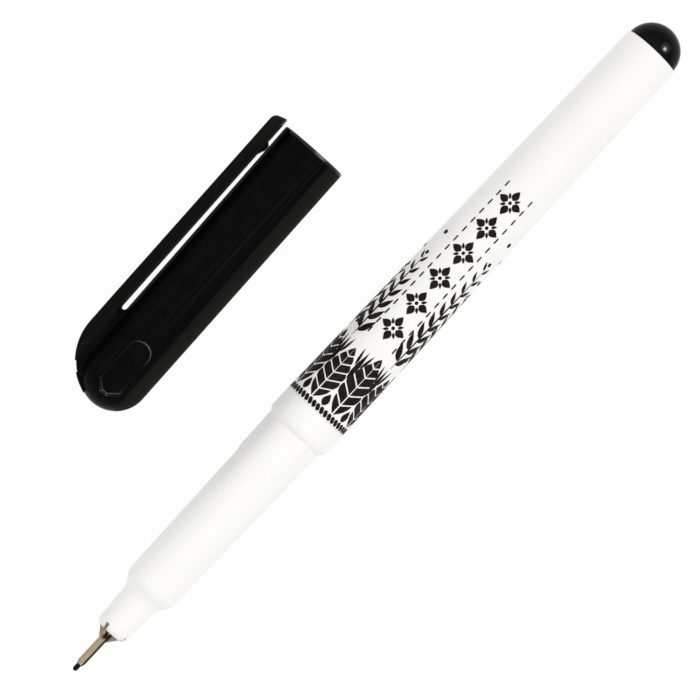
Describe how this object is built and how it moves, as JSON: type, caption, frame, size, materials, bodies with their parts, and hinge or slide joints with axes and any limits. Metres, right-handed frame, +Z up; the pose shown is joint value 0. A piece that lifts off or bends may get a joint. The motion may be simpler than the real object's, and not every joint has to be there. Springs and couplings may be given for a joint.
{
  "type": "fabric marker",
  "caption": "Fine-tip fabric marker lying uncapped: tapered white barrel with a dark print, domed end plug, slim nozzle with a sleeved nib, and its clip cap beside it.",
  "frame": {"origin": "on the table under the middle of the box round the pen and its cap", "axes": "+X along the pen toward its end plug, +Y toward the cap that lies beside it, +Z up off the table"},
  "size_m": [0.134, 0.0412, 0.0113],
  "materials": {
    "barrel_white": "smooth moulded polypropylene, warm white, printed in black",
    "section_white": "smooth moulded polypropylene, white",
    "plug_black": "gloss moulded plastic",
    "sleeve_metal": "drawn metal, warm grey",
    "nib_fibre": "bonded fibre soaked with ink",
    "ink_fibre": "fibre rod soaked with ink",
    "film": "clear plastic film",
    "cap_black": "satin-gloss moulded polypropylene",
    "seal_soft": "soft polyethylene"
  },
  "bodies": {
    "pen": {"barrel": "barrel_white", "front_section": "section_white", "end_plug": "plug_black", "tip_sleeve": "sleeve_metal", "nib": "nib_fibre", "ink_reservoir": "ink_fibre", "reservoir_film": "film"},
    "cap": {"cap_shell": "cap_black", "pocket_clip": "cap_black", "cap_seal": "seal_soft"}
  },
  "joints": [
    {"name": "cap_slide", "type": "slide", "parent": "pen", "child": "cap", "axis": [-1, 0, 0], "range_m": [0, 0.09]}
  ]
}
